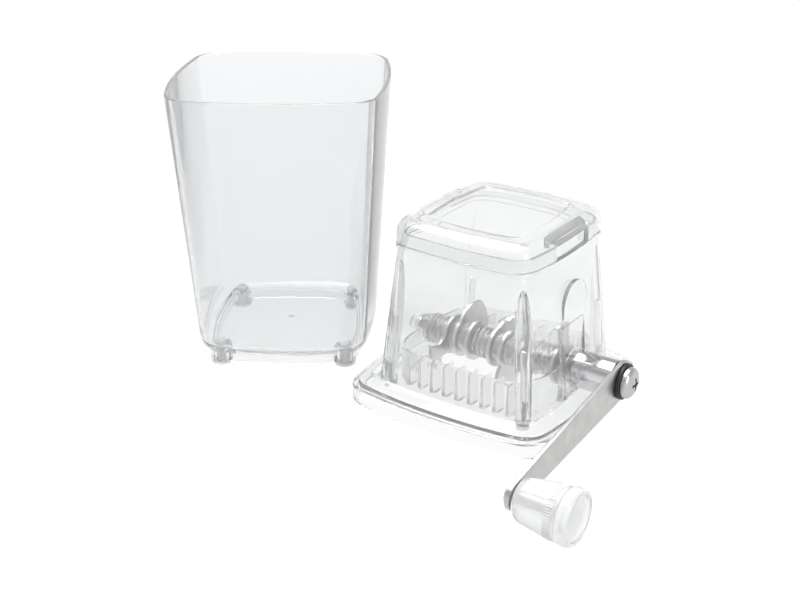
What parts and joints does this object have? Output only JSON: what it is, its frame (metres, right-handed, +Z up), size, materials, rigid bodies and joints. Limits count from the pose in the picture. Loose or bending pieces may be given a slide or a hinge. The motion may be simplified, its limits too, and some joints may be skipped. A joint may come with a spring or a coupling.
{
  "type": "shaved ice machine",
  "caption": "Hand crank ice shaver in clear plastic: a square head with lift-off lid, blade shaft, crank and knob, beside the tall square container it sits on.",
  "frame": {"origin": "centre of the bounding box at table level", "axes": "+X along the blade shaft towards the crank, -Y towards the crank knob's resting side, +Z up"},
  "size_m": [0.3172, 0.1886, 0.16],
  "materials": {
    "clear_acrylic": "clear polished acrylic moulding",
    "frosted_acrylic": "clear moulding with a hazy surface",
    "blade_steel": "stamped stainless steel",
    "crank_steel": "stainless steel brushed along its length",
    "chrome": "bright plated tube",
    "black_nylon": "black washers",
    "foot_rubber": "translucent pale soft feet"
  },
  "bodies": {
    "container": {"container": "clear_acrylic", "foot_front_left": "foot_rubber", "foot_front_right": "foot_rubber", "foot_rear_left": "foot_rubber", "foot_rear_right": "foot_rubber"},
    "head": {"housing": "clear_acrylic", "trough": "frosted_acrylic", "housing_screw_front_left": "blade_steel", "housing_screw_front_right": "blade_steel", "housing_screw_rear_left": "blade_steel", "housing_screw_rear_right": "blade_steel", "bearing_cap": "clear_acrylic", "bearing_bush": "frosted_acrylic"},
    "lid": {"lid": "clear_acrylic"},
    "crank": {"drive_shaft": "blade_steel", "hammer_blade": "blade_steel", "fin_blade": "blade_steel", "blade_disc": "blade_steel", "stepped_blade": "blade_steel", "notched_blade": "blade_steel", "tall_blade": "blade_steel", "long_spacer": "clear_acrylic", "thin_spacer": "clear_acrylic", "second_spacer": "clear_acrylic", "middle_spacer": "clear_acrylic", "short_spacer": "clear_acrylic", "ringed_spacer": "clear_acrylic", "sleeve": "chrome", "sleeve_washer": "black_nylon", "crank_arm": "crank_steel", "screw_washer": "black_nylon", "crank_screw": "crank_steel", "knob_pin": "crank_steel"},
    "knob": {"knob": "frosted_acrylic", "knob_cap": "frosted_acrylic"}
  },
  "joints": [
    {"name": "head_lift", "type": "slide", "parent": "container", "child": "head", "axis": [0, 0, 1], "range_m": [0, 0.06]},
    {"name": "lid_lift", "type": "slide", "parent": "head", "child": "lid", "axis": [0, 0, 1], "range_m": [0, 0.06]},
    {"name": "crank_turn", "type": "hinge", "parent": "head", "child": "crank", "pos_m": [0.10951, 0.02926, 0.0265], "axis": [-1, 0, 0], "continuous": true},
    {"name": "knob_spin", "type": "hinge", "parent": "crank", "child": "knob", "pos_m": [0.1395, -0.08026, 0.01422], "axis": [1, 0, 0], "continuous": true}
  ]
}
